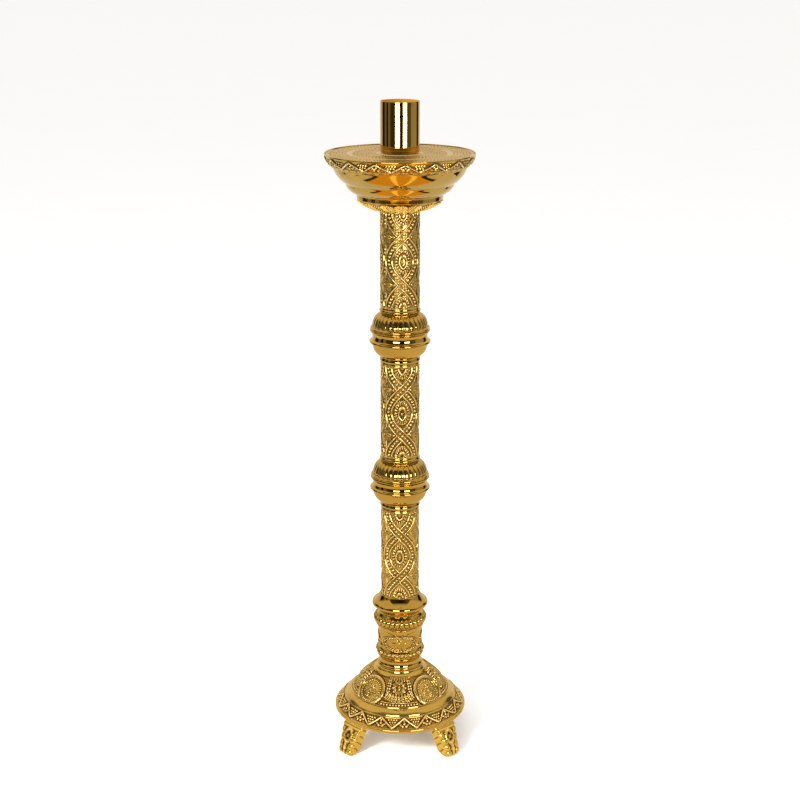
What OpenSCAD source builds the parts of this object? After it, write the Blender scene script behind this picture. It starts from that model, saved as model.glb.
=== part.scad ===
// Single-light altar candlestick: cast and spun gilt brass pieces stacked on one steel tie rod.
// Millimetres, +Z up, origin on the ground under the middle of the base.

/* [Overall] */
// Total height, from the ground to the mouth of the candle socket
total_h = 700; // [690:1:720]
// Wall thickness of the cast and spun brass pieces
wall = 1.8; // [1.4:0.1:2.2]

/* [Candle socket] */
// Diameter of the hole that holds the candle
candle_bore_d = 38.4; // [37.6:0.1:38.8]
// Outer diameter of the socket tube
socket_d = 40; // [39.8:0.1:41]
// Depth of the candle hole
candle_depth = 41.3; // [38:0.1:42]

/* [Tie rod and thread] */
// Diameter of the threaded tie rod
rod_d = 10; // [8:1:10]
// Thickness of the threaded hub under the candle
hub_t = 10; // [9:0.5:11]

/* [Drip pan] */
// Diameter of the drip pan at its rim
pan_d = 154.4; // [150:0.2:158]
// Height of the drip pan, from its foot to its rim
pan_h = 47; // [46:0.5:48]

/* [Stem] */
// Outer diameter of the relief-cast stem tubes
tube_d = 41.2; // [40.6:0.1:41.6]
// Length of each stem tube
tube_h = 101; // [99:1:103]
// Height of each stem knop
knop_h = 60.5; // [60:0.5:61]
// Diameter of a stem knop at its widest ridge
knop_d = 64.4; // [63:0.2:66]

/* [Base] */
// Diameter of the base at its flange
base_d = 145.4; // [144:0.2:147]
// Height of the feet, from the ground to the underside of the flange
foot_h = 32.4; // [31:0.2:33]
// Distance from the axis to the tip of each foot
foot_reach = 85.4; // [84:0.2:87]
// Width of a foot at its top
foot_w = 29; // [27:0.2:31]
// Diameter of the studs that hold the feet
stud_d = 5; // [4:0.5:5]

/* [Hidden] */

$fn = 72;
eps = 0.01;
rod_hole_r = rod_d / 2 + 0.35;
thread_hole_r = rod_d / 2 + 0.05;
tube_bore_r = tube_d / 2 - wall - 0.6;
spigot_r = tube_bore_r - 0.2;
spigot_h = 3;
web = 3;

// Heights of the joints between the stacked pieces, counted down from the rim of the pan
hub_top_z = total_h - candle_depth;
hub_z = hub_top_z - hub_t;
washer_t = 1.2;
plate_top_z = hub_z - washer_t;
plate_t = 1.5;
rim_z = plate_top_z + 1;
pan_z = rim_z - pan_h;
calyx_h = 11;
calyx_z = pan_z - calyx_h;
upper_tube_z = calyx_z - tube_h;
upper_knop_z = upper_tube_z - knop_h;
middle_tube_z = upper_knop_z - tube_h;
lower_knop_z = middle_tube_z - knop_h;
lower_tube_z = lower_knop_z - tube_h;

// The base and its knop are counted up from the ground
crown_z = foot_h + 51.6;
neck_h = 11.5;
cast_knop_z = crown_z + neck_h;
cup_z = cast_knop_z + 51;
flange_t = 3;
stud_circle_r = base_d / 2 - 15;
foot_angles = [45, 135, 225, 315];
rod_bottom_z = crown_z - 20;
rod_top_z = hub_top_z - 1;

GOLD = "#d9a62e";
DARK_GOLD = "#c08f24";
STEEL = "#8d9196";

// Points of an arc, from angle a0 to angle a1 round the centre (r0, z0)
function arc(r0, z0, r, a0, a1, n = 8) =
    [for (i = [0:n]) let (a = a0 + (a1 - a0) * i / n) [r0 + r * cos(a), z0 + r * sin(a)]];

// Points of a quarter of an oval round the centre (r0, z0), a wide and b high
function oval_arc(r0, z0, a, b, t0, t1, n = 8) =
    [for (i = [0:n]) let (t = t0 + (t1 - t0) * i / n) [r0 + a * cos(t), z0 + b * sin(t)]];

// Points of a curve from p to q that bulges sideways by b at its middle, to the right of its travel
function bow(p, q, b, n = 8) =
    let (d = q - p, side = [d[1], -d[0]] / norm(d))
    [for (i = [0:n]) let (t = i / n) p + d * t + side * b * 4 * t * (1 - t)];

// An outline moved by a fixed step
function moved(points, dr, dz) = [for (p = points) [p[0] + dr, p[1] + dz]];

function backwards(points) = [for (i = [len(points) - 1:-1:0]) points[i]];

// Turns an outline in the radial plane round the vertical axis
module turned(points) {
    rotate_extrude() polygon(points);
}

// A flat ring or disc with a round hole
module ring(z, h, outer_r, hole_r) {
    translate([0, 0, z]) difference() {
        cylinder(r = outer_r, h = h);
        translate([0, 0, -1]) cylinder(r = hole_r, h = h + 2);
    }
}

// A hexagonal nut with a plain round hole at the thread's diameter
module hex_nut(across_flats, h, hole_r) {
    difference() {
        cylinder(d = across_flats / cos(30), h = h, $fn = 6);
        translate([0, 0, -1]) cylinder(r = hole_r, h = h + 2);
    }
}

// ---- Feet ----

// Side outline of a foot in the radial plane: a tab under the flange, a splayed scroll and a toe
function foot_side() = let (r = foot_reach, h = foot_h) concat(
    [[r - 35, h], [r - 13, h]],
    bow([r - 12.2, h - 1.2], [r - 6.4, h * 0.6], -0.6, 4),
    bow([r - 5.8, h * 0.55], [r - 1.4, h * 0.27], 0.4, 4),
    arc(r - 3, 5.4, 3, 50, -10, 4),
    arc(r - 2.4, 2.4, 2.4, 0, -90, 4),
    [[r - 7, 0]],
    bow([r - 8, 0.8], [r - 19.6, h * 0.57], 2.4, 6),
    [[r - 21.6, h - 3.6], [r - 35, h - 3.6]]);

// Half of the outline of a foot seen from its tip: broad under the flange, slim at the toe
function foot_half_front() = let (w = foot_w / 2, h = foot_h) concat(
    [[0, h], [w, h], [w - 0.4, h - 1.6]],
    bow([w - 1, h - 3], [w - 5.6, h * 0.5], 0.5, 4),
    [[w - 6.8, h * 0.3], [w - 6.6, h * 0.16], [w - 8, 0], [0, 0]]);

module foot(angle) {
    rotate([0, 0, angle]) {
        intersection() {
            translate([0, foot_w / 2, 0]) rotate([90, 0, 0])
                linear_extrude(height = foot_w) polygon(foot_side());
            rotate([90, 0, 90]) linear_extrude(height = foot_reach + 1) {
                polygon(foot_half_front());
                mirror([1, 0]) polygon(foot_half_front());
            }
        }
        // Scroll eyes on both cheeks
        for (side = [-1, 1])
            translate([foot_reach - 15.5, side * (foot_w / 2 - 5), foot_h * 0.62]) rotate([90, 0, 0])
                cylinder(r = 4.5, h = 3.2, center = true);
        // Stud that passes up through the flange
        translate([stud_circle_r, 0, foot_h - 3.6]) cylinder(d = stud_d, h = 12.8);
    }
}

module foot_front_right() color(GOLD) foot(foot_angles[3]);
module foot_front_left() color(GOLD) foot(foot_angles[2]);
module foot_rear_left() color(GOLD) foot(foot_angles[1]);
module foot_rear_right() color(GOLD) foot(foot_angles[0]);

module foot_washers() color(STEEL)
    for (a = foot_angles) rotate([0, 0, a]) translate([stud_circle_r, 0, 0])
        ring(foot_h + flange_t, 1, stud_d, stud_d / 2 + 0.2);

module foot_nuts() color(STEEL)
    for (a = foot_angles) rotate([0, 0, a]) translate([stud_circle_r, 0, foot_h + flange_t + 1])
        hex_nut(stud_d * 1.6, 4, stud_d / 2 + 0.05);

// ---- Base ----

// Outer outline of the base, from the flange up to the crown
function base_outline() = let (r = base_d / 2, z = foot_h) concat(
    [[r - 1.6, z]],
    arc(r - 1.2, z + 1.2, 1.2, -75, 0, 5),
    arc(r - 1.4, z + 2.9, 1.4, 0, 65, 4),
    bow([r - 1.8, z + 4.4], [r - 10.6, z + 14.5], -0.5, 6),
    [[r - 11.2, z + 15]],
    bow([r - 11.8, z + 15.8], [r - 16.6, z + 20.7], 0.5, 6),
    [[r - 16.9, z + 20.9]],
    bow([r - 19.6, z + 21.9], [r - 43.2, z + 46], 1.5, 12),
    bow([r - 44.2, z + 46.6], [r - 47.2, z + 51.6], -0.6, 5));

// Place on the dome where a medallion sits, and the tilt of the surface there
medallion_r = 17.2;
medallion_pos = [base_d / 2 - 29, foot_h + 34.4];
medallion_tilt = 43.5;

module base_shell() color(GOLD) {
    difference() {
        turned(concat(
            [[stud_circle_r - 8, foot_h]],
            base_outline(),
            [[rod_hole_r, crown_z], [rod_hole_r, crown_z - 4], [base_d / 2 - 48, crown_z - 4]],
            backwards(moved(bow([base_d / 2 - 13, foot_h + 14.4], [base_d / 2 - 43.2, foot_h + 46], 1, 12),
                -wall, -wall)),
            [[base_d / 2 - 4.6 - wall, foot_h + 5], [base_d / 2 - 5.2 - wall, foot_h + flange_t],
             [stud_circle_r - 8, foot_h + flange_t]]));
        for (a = foot_angles) rotate([0, 0, a]) translate([stud_circle_r, 0, foot_h - 1])
            cylinder(r = stud_d / 2 + 0.25, h = flange_t + 2);
    }
    // Raised rings of the four round medallions, following the dome
    for (a = foot_angles) intersection() {
        turned(concat([[medallion_pos[0] - 24, foot_h + 16]],
            bow([base_d / 2 - 18.8, foot_h + 22.4], [base_d / 2 - 42.4, foot_h + 46.6], 1.6, 12),
            [[medallion_pos[0] - 24, foot_h + 47]]));
        rotate([0, 0, a]) translate([medallion_pos[0], 0, medallion_pos[1]])
            rotate([0, medallion_tilt, 0]) difference() {
                translate([0, 0, -4]) cylinder(r = medallion_r, h = 12);
                translate([0, 0, -5]) cylinder(r = medallion_r - 2, h = 14);
            }
    }
}

module base_washer() color(STEEL) ring(crown_z - 6.5, 2.5, 20, rod_hole_r);

module base_nut() color(STEEL)
    translate([0, 0, crown_z - 6.5 - 8]) hex_nut(rod_d * 1.7, 8, thread_hole_r);

module tie_rod() color(STEEL)
    translate([0, 0, rod_bottom_z]) cylinder(d = rod_d, h = rod_top_z - rod_bottom_z);

module base_neck() color(GOLD) turned(concat(
    [[rod_hole_r, crown_z]],
    bow([base_d / 2 - 48, crown_z], [base_d / 2 - 49, crown_z + 3], 0.5, 4),
    bow([base_d / 2 - 48.8, crown_z + 3.2], [base_d / 2 - 48.2, crown_z + neck_h], -0.4, 8),
    [[rod_hole_r, crown_z + neck_h]]));

// ---- Cast knop above the base ----

bead_count = 32;
bead_ring_r = 27.6;
bead_r = 2.6;

module lower_knop() color(GOLD) {
    z = cast_knop_z;
    difference() {
        turned(concat(
            [[rod_hole_r, z], [24, z]],
            bow([24.6, z + 0.8], [24.6, z + 9.4], 2.3, 8),
            [[24, z + 10], [24, z + 27]],
            bow([24.8, z + 28.5], [26.8, z + 37], -0.4, 6),
            bow([26.9, z + 38], [25, z + 49.2], 3.4, 8),
            [[23.4, z + 50], [23.4, z + 51], [rod_hole_r, z + 51]]));
        translate([0, 0, z + web]) cylinder(r = 23.4 - wall, h = 51 - 2 * web);
    }
    // Ring of egg-shaped beads on the shoulder
    for (i = [0:bead_count - 1]) rotate([0, 0, (i + 0.5) * 360 / bead_count])
        translate([bead_ring_r, 0, z + 43]) sphere(r = bead_r, $fn = 24);
    // Three oval medallions on the drum
    for (a = [30, 150, 270]) intersection() {
        ring(z + 8, 26, 24.9, 23.6);
        rotate([0, 0, a]) translate([14, 0, z + 20.5]) rotate([90, 0, 90])
            linear_extrude(height = 14) polygon([for (t = [0:10:350]) [19 * cos(t), 9.3 * sin(t)]]);
    }
}

module stem_cup() color(GOLD) {
    z = cup_z;
    top = lower_tube_z;
    turned(concat(
        [[rod_hole_r, z], [23.4, z], [23, z + 1.6], [23.8, z + 4.2], [26, z + 5.6]],
        arc(26.8, z + 10.2, 3.8, -80, 40, 10),
        bow([28.8, z + 13.4], [21.6, top + 1.5], -0.5, 5),
        [[tube_d / 2 + 0.3, top + 1.5], [tube_d / 2 + 0.3, top], [spigot_r, top],
         [spigot_r, top + spigot_h], [rod_hole_r, top + spigot_h]]));
}

// ---- Stem tubes ----

// A tube with the two smooth rims that frame its relief
module stem_tube(z) {
    difference() {
        union() {
            translate([0, 0, z]) cylinder(d = tube_d - 0.6, h = tube_h);
            for (rim_pos = [z, z + tube_h - 1.5]) translate([0, 0, rim_pos])
                cylinder(d = tube_d, h = 1.5);
        }
        translate([0, 0, z - 1]) cylinder(r = tube_bore_r, h = tube_h + 2);
    }
}

module lower_tube() color(GOLD) stem_tube(lower_tube_z);
module middle_tube() color(GOLD) stem_tube(middle_tube_z);
module upper_tube() color(GOLD) stem_tube(upper_tube_z);

// ---- Stem knops, each a bowl with a belt and a domed cap ----

// Height of the knop's ridge above its foot, where the bowl meets the dome
belt_h = 36.2;

module knop_bowl(z) {
    r = knop_d / 2;
    turned(concat(
        [[rod_hole_r, z - spigot_h], [spigot_r, z - spigot_h], [spigot_r, z]],
        [[20.8, z], [21, z + 6.6], [21.2, z + 7.6]],
        bow([21.4, z + 8], [r - 3.2, z + 19.5], 1.7, 8),
        arc(r - 1.6, z + 23.8, 1.6, -60, 75, 6),
        bow([r - 2.4, z + 26.2], [r - 1.4, z + 34.2], -1.2, 8),
        [[r - 1, z + 35], [r - 1, z + belt_h], [r - 3.2, z + belt_h], [r - 3.2 - wall, z + belt_h]],
        bow([r - 3.2 - wall, z + 21], [21, z + 9], -1.5, 6),
        [[20, z + web], [rod_hole_r, z + web]]));
}

module knop_dome(z) {
    r = knop_d / 2;
    turned(concat(
        [[r - 3 - wall, z + belt_h]],
        arc(r - 2.4, z + belt_h + 1.5, 1.5, -60, 60, 5),
        oval_arc(20.2, z + 39.2, r - 23.2, 12.8, 5, 85, 12),
        [[20.4, z + 54.2]],
        bow([20.7, z + 54.8], [20.7, z + knop_h], 0.5, 4),
        [[spigot_r, z + knop_h], [spigot_r, z + knop_h + spigot_h], [rod_hole_r, z + knop_h + spigot_h],
         [rod_hole_r, z + knop_h - web], [16, z + knop_h - web]],
        backwards(oval_arc(20.2 - wall, z + 38.2, r - 23.2, 12, 5, 85, 8))));
}

module lower_knop_bowl() color(GOLD) knop_bowl(lower_knop_z);
module lower_knop_dome() color(GOLD) knop_dome(lower_knop_z);
module upper_knop_bowl() color(GOLD) knop_bowl(upper_knop_z);
module upper_knop_dome() color(GOLD) knop_dome(upper_knop_z);

// ---- Leaf calyx and drip pan ----

leaves = 16;

module calyx() color(GOLD) difference() {
    z = calyx_z;
    turned(concat(
        [[rod_hole_r, z - spigot_h], [spigot_r, z - spigot_h], [spigot_r, z], [21.4, z]],
        bow([22.5, z + 0.6], [43, z + 9.6], 1.2, 8),
        [[43.4, z + 10.4], [42.6, z + 10.8]],
        bow([41.5, z + 10.4], [23, z + 3], -1.2, 6),
        [[14, z + web], [14, z + calyx_h], [rod_hole_r, z + calyx_h]]));
    // Notches between the leaf tips
    for (i = [0:leaves - 1]) rotate([0, 0, (i + 0.5) * 360 / leaves])
        translate([46, 0, z + 4]) cylinder(r = 6.2, h = 10, $fn = 32);
}

// Outer outline of the pan, from its foot up through two bulging tiers to the rim
function pan_outline() = let (r = pan_d / 2, z = pan_z) concat(
    [[r - 33.7, z]],
    arc(r - 33.9, z + 1.4, 1.4, -80, 0, 4),
    [[r - 32.5, z + 5.4], [r - 31.5, z + 5.8]],
    bow([r - 28.6, z + 7.4], [r - 21.4, z + 16.2], 1, 8),
    [[r - 21, z + 17]],
    bow([r - 19.6, z + 17.6], [r - 9, z + 32.2], 1.3, 10),
    [[r - 8.2, z + 33]],
    bow([r - 7.6, z + 33.8], [r - 0.6, z + 44.4], 0.6, 6),
    arc(r - 0.9, z + pan_h - 0.9, 0.9, -20, 90, 5));

module pan_bowl() color(GOLD) turned(concat(
    [[rod_hole_r, pan_z]],
    pan_outline(),
    [[pan_d / 2 - 1.6, rim_z], [pan_d / 2 - 1.8, rim_z - 1 - plate_t],
     [pan_d / 2 - 3.4, rim_z - 1 - plate_t]],
    bow([pan_d / 2 - 4, rim_z - 4], [pan_d / 2 - 35, pan_z + 6.5], 0.6, 10),
    [[pan_d / 2 - 35, pan_z + wall], [rod_hole_r, pan_z + wall]]));

module pan_spacer() color(DARK_GOLD)
    ring(pan_z + wall, plate_top_z - plate_t - pan_z - wall, 8, rod_hole_r);

// Flat plate that closes the pan, with a raised ring and a low collar round the socket
module pan_plate() color(GOLD) {
    top = plate_top_z;
    r = pan_d / 2 - 2.1;
    turned([[rod_hole_r, top - plate_t], [r, top - plate_t], [r, top], [r * 0.7, top],
        [r * 0.68, top + 0.7], [r * 0.66, top], [socket_d / 2 + 3, top],
        [socket_d / 2 + 1.5, top + 0.8], [socket_d / 2 + 0.5, top], [rod_hole_r, top]]);
}

// ---- Candle socket ----

module socket_washer() color(STEEL) ring(plate_top_z, washer_t, 11, rod_d / 2 + 0.08);

hub_r = candle_bore_d / 2 - 0.3;

module socket_hub() color(DARK_GOLD) ring(hub_z, hub_t, hub_r, thread_hole_r);

module socket_tube() color(GOLD) difference() {
    translate([0, 0, hub_z]) cylinder(d = socket_d, h = total_h - hub_z);
    translate([0, 0, hub_z - 1]) cylinder(r = hub_r, h = hub_t + 1 + eps);
    translate([0, 0, hub_top_z]) cylinder(d = candle_bore_d, h = candle_depth + 1);
}

foot_front_right();
foot_front_left();
foot_rear_left();
foot_rear_right();
foot_washers();
foot_nuts();
base_shell();
base_washer();
base_nut();
tie_rod();
base_neck();
lower_knop();
stem_cup();
lower_tube();
lower_knop_bowl();
lower_knop_dome();
middle_tube();
upper_knop_bowl();
upper_knop_dome();
upper_tube();
calyx();
pan_bowl();
pan_spacer();
pan_plate();
socket_washer();
socket_hub();
socket_tube();
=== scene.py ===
"""Looks of a single-light altar candlestick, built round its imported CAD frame.

Sizes are in millimetres and become metres when a mesh is made. Azimuths are in degrees: 0 is the front (-Y)
and 90 the right side (+X). Turned pieces are closed outlines swept round the axis, with their cast relief as
height on a fine grid.
"""

import math

import bpy
import mathutils
import numpy as np
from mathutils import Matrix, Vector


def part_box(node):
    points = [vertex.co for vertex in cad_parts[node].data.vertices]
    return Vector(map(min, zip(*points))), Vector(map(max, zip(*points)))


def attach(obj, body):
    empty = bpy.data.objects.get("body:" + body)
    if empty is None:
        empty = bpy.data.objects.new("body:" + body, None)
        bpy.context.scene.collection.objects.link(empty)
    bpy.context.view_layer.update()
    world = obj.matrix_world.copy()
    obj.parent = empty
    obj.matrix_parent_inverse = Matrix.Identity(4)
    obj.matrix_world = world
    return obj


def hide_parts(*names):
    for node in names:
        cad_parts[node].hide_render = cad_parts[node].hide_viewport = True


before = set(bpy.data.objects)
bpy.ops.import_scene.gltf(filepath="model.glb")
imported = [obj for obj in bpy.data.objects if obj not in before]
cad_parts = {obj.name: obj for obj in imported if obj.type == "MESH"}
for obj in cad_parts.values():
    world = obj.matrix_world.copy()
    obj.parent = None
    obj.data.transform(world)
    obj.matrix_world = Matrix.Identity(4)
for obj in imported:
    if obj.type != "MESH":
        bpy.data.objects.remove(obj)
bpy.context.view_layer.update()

MM = 0.001
CORNERS = (45, 135, 225, 315)


def span(node):
    """Lowest height, highest height and outer radius of a CAD node, in millimetres."""
    low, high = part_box(node)
    return low.z / MM, high.z / MM, high.x / MM


# ---- Outlines ----


def oval_arc(r0, z0, a, b, start, end, n=8):
    """Points of an oval arc round (r0, z0), a wide and b high."""
    t = np.radians(np.linspace(start, end, n + 1))
    return np.column_stack([r0 + a * np.cos(t), z0 + b * np.sin(t)])


def arc(r0, z0, r, start, end, n=8):
    return oval_arc(r0, z0, r, r, start, end, n)


def bow(p, q, bulge, n=8):
    """Points of a curve from p to q that bulges sideways at its middle, to the right of its travel."""
    p, q = np.array(p, float), np.array(q, float)
    side = np.array([q[1] - p[1], p[0] - q[0]]) / np.linalg.norm(q - p)
    t = np.linspace(0, 1, n + 1)[:, None]
    return p + (q - p) * t + side * bulge * 4 * t * (1 - t)


def line(*points):
    return np.array(points, float)


def along(points):
    """Distance of each point from the first, measured along the outline."""
    return np.concatenate([[0], np.cumsum(np.linalg.norm(np.diff(points, axis=0), axis=1))])


def resampled(points, step):
    at = along(points)
    count = max(2, int(math.ceil(at[-1] / step)) + 1)
    to = np.linspace(0, at[-1], count)
    return np.column_stack([np.interp(to, at, points[:, 0]), np.interp(to, at, points[:, 1])])


def stretch(points, step=None, relief=None):
    """One stretch of an outline: smooth and able to carry relief with a step, as drawn without one."""
    return (resampled(points, step) if step else np.array(points, float), step, relief)


# ---- Relief shapes: heights from 0 to 1 ----


def rise(d, half, power=0.8):
    """A rounded ridge of half width half, where d is the distance from its middle."""
    return np.clip(1 - (d / half) ** 2, 0, 1) ** power


def blob(u, v, a, b=None, power=0.7):
    """A rounded pearl, or an egg when a and b differ."""
    b = b or a
    return np.clip(1 - (u / a) ** 2 - (v / b) ** 2, 0, 1) ** power


def leaf(u, v, length, width, veins=0.0):
    """A leaf from its root at v = 0 to its tip at v = length, with a sunk midrib and slanted veins."""
    t = np.clip(v / length, 0, 1)
    half = width * np.sin(np.pi * t ** 0.8) ** 0.8 + 1e-6
    inside = (v > 0) & (v < length)
    body = np.clip(1 - (u / half) ** 2, 0, 1) ** 0.6
    if veins:
        body = body * (0.84 + 0.16 * np.cos(2 * np.pi * (v - 0.8 * np.abs(u)) / veins))
    return np.where(inside, body * (1 - 0.45 * rise(u, 0.16 * width + 0.15)), 0)


def folded(value, period):
    """value folded into the range from -period / 2 to period / 2."""
    return (value + period / 2) % period - period / 2


def turned_by(u, v, degrees):
    c, s = math.cos(math.radians(degrees)), math.sin(math.radians(degrees))
    return u * c + v * s, v * c - u * s


# ---- Meshes ----


def sunk(height):
    """How far each point of a height field lies below its neighbourhood and below the plain surface."""
    mean = height
    for _ in range(8):
        mean = (np.roll(mean, 1, 0) + mean + np.roll(mean, -1, 0)) / 3
        mean = (np.roll(mean, 1, 1) + mean + np.roll(mean, -1, 1)) / 3
    return mean - height + 0.4 * np.clip(-0.1 - height, 0, 1)


def around_axis(r, t, z):
    """Points at radius r, azimuth t and height z."""
    a = np.radians(t)
    return np.stack(np.broadcast_arrays(r * np.sin(a), -r * np.cos(a), z), axis=-1)


def new_piece(name, grid, material, nodes, hollow=None, body="stand", flipped=False):
    """A closed piece from a grid of points whose rows and columns both join end to end."""
    rows, cols = grid.shape[:2]
    i, j = np.arange(rows)[:, None], np.arange(cols)[None, :]
    after, beside = (i + 1) % rows, (j + 1) % cols
    faces = np.stack([i * cols + j, i * cols + beside, after * cols + beside, after * cols + j],
                     axis=-1).reshape(-1, 4)
    if flipped:
        faces = faces[:, ::-1]
    mesh = bpy.data.meshes.new(name)
    mesh.vertices.add(rows * cols)
    mesh.vertices.foreach_set("co", (grid * MM).astype(np.float32).ravel())
    mesh.loops.add(faces.size)
    mesh.loops.foreach_set("vertex_index", faces.astype(np.int32).ravel())
    mesh.polygons.add(len(faces))
    mesh.polygons.foreach_set("loop_start", np.arange(len(faces), dtype=np.int32) * 4)
    mesh.update(calc_edges=True)
    # The hollow attribute marks sunk places, where the materials paint shade and dull the metal
    if hollow is not None:
        depth = mesh.attributes.new("hollow", "FLOAT", "POINT")
        depth.data.foreach_set("value", hollow.astype(np.float32).ravel())
    mesh.shade_smooth()
    mesh.set_sharp_from_angle(angle=math.radians(65))
    mesh.materials.append(material)
    piece = bpy.data.objects.new(name, mesh)
    bpy.context.scene.collection.objects.link(piece)
    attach(piece, body)
    if nodes:
        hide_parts(*nodes)
    return mesh


def swept_profile(stretches, passes):
    """Joins stretches into one closed profile and softens the corners of the smooth ones."""
    rows, soft, reliefs, start = [], [], [], 0
    for points, step, relief in stretches:
        if rows and np.linalg.norm(rows[-1][-1] - points[0]) < 1e-6:
            points = points[1:]
        rows.append(points)
        soft.append(np.full(len(points), step is not None))
        reliefs.append((start, start + len(points), relief))
        start += len(points)
    profile, soft = np.vstack(rows), np.concatenate(soft)
    for _ in range(passes):
        mean = (np.roll(profile, 1, 0) + 2 * profile + np.roll(profile, -1, 0)) / 4
        profile = np.where(soft[:, None], mean, profile)
    return profile, reliefs


def turned(name, stretches, around, material, nodes, body="stand", passes=2):
    """A closed solid swept round the axis; its outline climbs the outer side and comes down inside."""
    profile, reliefs = swept_profile(stretches, passes)
    ahead = np.roll(profile, -1, 0) - np.roll(profile, 1, 0)
    normal = np.column_stack([ahead[:, 1], -ahead[:, 0]])
    normal /= np.linalg.norm(normal, axis=1)[:, None] + 1e-12
    t = np.arange(around) * 360 / around
    height = np.zeros((len(profile), around))
    for first, last, relief in reliefs:
        if relief:
            part = profile[first:last]
            height[first:last] = relief(t[None, :], along(part)[:, None], part[:, :1], part[:, 1:])
    r = profile[:, :1] + normal[:, :1] * height
    z = profile[:, 1:] + normal[:, 1:] * height
    return new_piece(name, around_axis(r, t[None, :], z), material, nodes, sunk(height), body)


# ---- Materials ----


class Nodes:
    """Adds shader nodes to a material and wires them, one call for each."""

    def __init__(self, tree):
        self.tree = tree

    def add(self, kind, inputs=None, **settings):
        node = self.tree.nodes.new(kind)
        for key, value in settings.items():
            setattr(node, key, value)
        for key, value in (inputs or {}).items():
            if isinstance(value, bpy.types.NodeSocket):
                self.tree.links.new(value, node.inputs[key])
            else:
                node.inputs[key].default_value = value
        return node

    def noise(self, vector, scale, detail=3.0, roughness=0.5):
        return self.add("ShaderNodeTexNoise", {"Vector": vector, "Scale": scale, "Detail": detail,
                                               "Roughness": roughness}).outputs["Fac"]

    def ranged(self, value, low, high, to_low, to_high):
        return self.add("ShaderNodeMapRange", {"Value": value, "From Min": low, "From Max": high,
                                               "To Min": to_low, "To Max": to_high}).outputs["Result"]

    def maths(self, operation, a, b):
        return self.add("ShaderNodeMath", {0: a, 1: b}, operation=operation, use_clamp=True).outputs[0]

    def open_maths(self, operation, a, b=0.0):
        """Maths whose result may lie outside 0 to 1."""
        return self.add("ShaderNodeMath", {0: a, 1: b}, operation=operation).outputs[0]

    def mixed(self, factor, a, b):
        return self.add("ShaderNodeMix", {0: factor, 6: a, 7: b}, data_type="RGBA").outputs[2]

    def bump(self, height, distance, strength, normal=None):
        inputs = {"Height": height, "Distance": distance, "Strength": strength}
        if normal:
            inputs["Normal"] = normal
        return self.add("ShaderNodeBump", inputs).outputs["Normal"]


def metal(name, body, recess_shade, edge, rough, recess_shade_depth, wear_and_glint, wave=0.12, grain=0.08, grain_scale=1400,
          haze=0.0, burnish=0.0):
    """Metal with uneven tone, recesses duller and darkened with painted shade, raised edges lightened partly
    as wear and partly as painted highlight, a wavy polish and a fine grain.

    recess_shade_depth and wear say how far recesses take the painted shade colour and edges the lighter edge
    colour. haze is the share of the plain metal that scatters light, and burnish the share that its lightened
    edges add.
    """
    material = bpy.data.materials.new(name)
    material.use_nodes = True
    nodes = Nodes(material.node_tree)
    shader = material.node_tree.nodes["Principled BSDF"]
    place = nodes.add("ShaderNodeTexCoord").outputs["Object"]
    point = nodes.add("ShaderNodeNewGeometry").outputs["Pointiness"]
    depth = nodes.add("ShaderNodeAttribute", attribute_name="hollow").outputs["Fac"]
    cloud = nodes.noise(place, 38.0, 4.0)
    fine = nodes.noise(place, 420.0, 3.0, 0.6)
    tone = nodes.mixed(nodes.ranged(cloud, 0.35, 0.65, 0.0, 1.0),
                       (*[c * 0.93 for c in body], 1), (*[min(1, c * 1.05) for c in body], 1))
    # Painted shade: creases and sunk places of the relief take the dark recess colour
    creased = nodes.ranged(point, 0.40, 0.485, 1.0, 0.0)
    sunken = nodes.ranged(depth, 0.02, 0.34, 0.0, 1.0)
    hollow = nodes.maths("MULTIPLY", nodes.maths("MAXIMUM", creased, sunken), recess_shade_depth)
    # Raised edges and tops lighten toward the edge colour: partly wear, partly painted highlight
    sharp = nodes.maths("MAXIMUM", nodes.ranged(point, 0.52, 0.64, 0.0, 1.0),
                        nodes.ranged(depth, -0.45, -0.15, 1.0, 0.0))
    worn_and_glint = nodes.maths("MULTIPLY", sharp, nodes.ranged(fine, 0.35, 0.6, 0.25 * wear_and_glint, wear_and_glint))
    shade_painted = nodes.mixed(hollow, tone, (*recess_shade, 1))
    colour = nodes.mixed(worn_and_glint, shade_painted, (*edge, 1))
    blotch = nodes.ranged(nodes.noise(place, 90.0, 5.0, 0.65), 0.3, 0.7, rough[0], rough[1])
    rougher = nodes.maths("ADD", blotch, nodes.maths("MULTIPLY", hollow, 0.45))
    rougher = nodes.maths("ADD", rougher, nodes.maths("MULTIPLY", worn_and_glint, 0.05))
    wavy = nodes.bump(nodes.noise(place, 70.0, 2.0), 0.0006, wave)
    normal = nodes.bump(nodes.noise(place, grain_scale, 2.0), 0.00005, grain, wavy)
    metallic = nodes.maths("SUBTRACT", nodes.ranged(hollow, 0.0, 0.6, 1.0 - haze, 1.0),
                           nodes.maths("MULTIPLY", worn_and_glint, burnish))
    for key, value in (("Base Color", colour), ("Metallic", metallic), ("Roughness", rougher),
                       ("Normal", normal)):
        material.node_tree.links.new(value, shader.inputs[key])
    return material


# GOLD_RECESS_SHADE is painted shade for recesses. GOLD_EDGE_GLINT lightens raised edges, partly as wear and
# partly as painted highlight. Each metal below takes such a pair, the steel and brass ones included.
GOLD = (0.66, 0.425, 0.10)
GOLD_RECESS_SHADE = (0.13, 0.034, 0.005)
GOLD_EDGE_GLINT = (0.96, 0.79, 0.40)

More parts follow.
